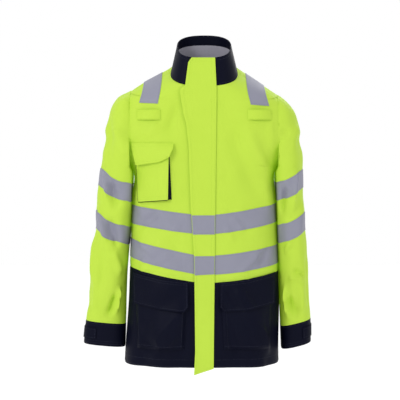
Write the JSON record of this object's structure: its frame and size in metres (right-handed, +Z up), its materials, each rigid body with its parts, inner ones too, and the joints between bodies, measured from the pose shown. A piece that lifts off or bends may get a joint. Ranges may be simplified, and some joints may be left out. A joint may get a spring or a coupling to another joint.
{
  "type": "high-visibility turnout coat",
  "caption": "Hip-length high-visibility protective parka hanging closed: zip under a storm flap, flapped pockets, reflective tapes, stand collar and lifting sleeves.",
  "frame": {"origin": "middle of the hang loop inside the back of the neck", "axes": "+X to the wearer's left, +Y towards the back, +Z up"},
  "size_m": [0.6206, 0.2783, 0.8976],
  "materials": {
    "hi_vis_shell": "matte coated polyester oxford, fluorescent yellow-green",
    "navy_shell": "matte coated polyester oxford, navy",
    "reflective_tape": "retroreflective glass-bead tape, silver grey",
    "lining": "smooth taffeta lining",
    "collar_lining": "light grey knitted lining",
    "navy_trim": "narrow woven tape",
    "label": "blank woven satin label",
    "zip_tape": "woven zip tape",
    "zip_chain": "moulded acetal teeth",
    "zip_metal": "plated zinc die casting",
    "hook_and_loop": "hook and loop fastener"
  },
  "bodies": {
    "coat_body": {"front_panel_right_upper": "hi_vis_shell", "front_panel_left_upper": "hi_vis_shell", "back_panel_upper": "hi_vis_shell", "front_panel_right_lower": "navy_shell", "front_panel_left_lower": "navy_shell", "back_panel_lower": "navy_shell", "body_lining": "lining", "collar_shell": "navy_shell", "collar_facing": "navy_shell", "collar_lining": "collar_lining", "hang_loop": "navy_trim", "size_label": "label", "zip_tape_right": "zip_tape", "zip_tape_left": "zip_tape", "zip_chain_right": "zip_chain", "zip_chain_left": "zip_chain", "zip_retainer_box": "zip_chain", "closure_hook_patches": "hook_and_loop", "chest_pocket_front": "hi_vis_shell", "chest_pocket_bellows": "navy_shell", "radio_loop_right": "hi_vis_shell", "radio_loop_left": "hi_vis_shell", "shoulder_tape_right": "reflective_tape", "shoulder_tape_left": "reflective_tape", "body_tape_lower_right": "reflective_tape", "body_tape_lower_left": "reflective_tape", "body_tape_lower_back": "reflective_tape", "body_tape_upper_right": "reflective_tape", "body_tape_upper_left": "reflective_tape", "body_tape_upper_back": "reflective_tape", "lower_pocket_right": "navy_shell", "lower_pocket_left": "navy_shell"},
    "storm_flap": {"storm_flap": "hi_vis_shell", "storm_flap_tape_lower": "reflective_tape", "storm_flap_tape_upper": "reflective_tape", "closure_loop_patches": "hook_and_loop"},
    "zip_slider": {"zip_slider": "zip_metal", "zip_pull": "zip_metal"},
    "chest_pocket_flap": {"chest_pocket_flap": "hi_vis_shell"},
    "lower_pocket_flap_right": {"lower_pocket_flap_right": "navy_shell"},
    "lower_pocket_flap_left": {"lower_pocket_flap_left": "navy_shell"},
    "sleeve_right": {"sleeve_right": "hi_vis_shell", "cuff_right": "navy_shell", "sleeve_lining_right": "lining", "sleeve_tape_upper_right": "reflective_tape", "sleeve_tape_lower_right": "reflective_tape", "cuff_loop_patch_right": "hook_and_loop"},
    "cuff_tab_right": {"cuff_tab_right": "navy_shell"},
    "sleeve_left": {"sleeve_left": "hi_vis_shell", "cuff_left": "navy_shell", "sleeve_lining_left": "lining", "sleeve_tape_upper_left": "reflective_tape", "sleeve_tape_lower_left": "reflective_tape", "cuff_loop_patch_left": "hook_and_loop"},
    "cuff_tab_left": {"cuff_tab_left": "navy_shell"}
  },
  "joints": [
    {"name": "storm_flap_hinge", "type": "hinge", "parent": "coat_body", "child": "storm_flap", "pos_m": [0.0298, -0.18526, -0.45635], "axis": [0.0109, 0.0632, 0.9979], "range_deg": [0, 95]},
    {"name": "zip_slide", "type": "slide", "parent": "coat_body", "child": "zip_slider", "axis": [0, -0.0632, -0.998], "range_m": [0, 0.742]},
    {"name": "chest_flap_hinge", "type": "hinge", "parent": "coat_body", "child": "chest_pocket_flap", "pos_m": [-0.138, -0.18119, -0.2295], "axis": [-0.9832, 0.1828, 0], "range_deg": [0, 110]},
    {"name": "lower_flap_left_hinge", "type": "hinge", "parent": "coat_body", "child": "lower_pocket_flap_left", "pos_m": [0.116, -0.197, -0.584], "axis": [-0.9201, -0.3669, -0.1368], "range_deg": [0, 110]},
    {"name": "lower_flap_right_hinge", "type": "hinge", "parent": "coat_body", "child": "lower_pocket_flap_right", "pos_m": [-0.116, -0.197, -0.584], "axis": [-0.9201, 0.3669, 0.1368], "range_deg": [0, 110]},
    {"name": "sleeve_right_lift", "type": "hinge", "parent": "coat_body", "child": "sleeve_right", "pos_m": [-0.1983, -0.06, -0.084], "axis": [0, 1, 0], "range_deg": [0, 50]},
    {"name": "sleeve_left_lift", "type": "hinge", "parent": "coat_body", "child": "sleeve_left", "pos_m": [0.1983, -0.06, -0.084], "axis": [0, -1, 0], "range_deg": [0, 50]},
    {"name": "cuff_tab_right_hinge", "type": "hinge", "parent": "sleeve_right", "child": "cuff_tab_right", "pos_m": [-0.28, -0.03132, -0.74326], "axis": [0, 0, -1], "range_deg": [0, 100]},
    {"name": "cuff_tab_left_hinge", "type": "hinge", "parent": "sleeve_left", "child": "cuff_tab_left", "pos_m": [0.261, -0.01523, -0.73867], "axis": [0, 0, 1], "range_deg": [0, 100]}
  ]
}
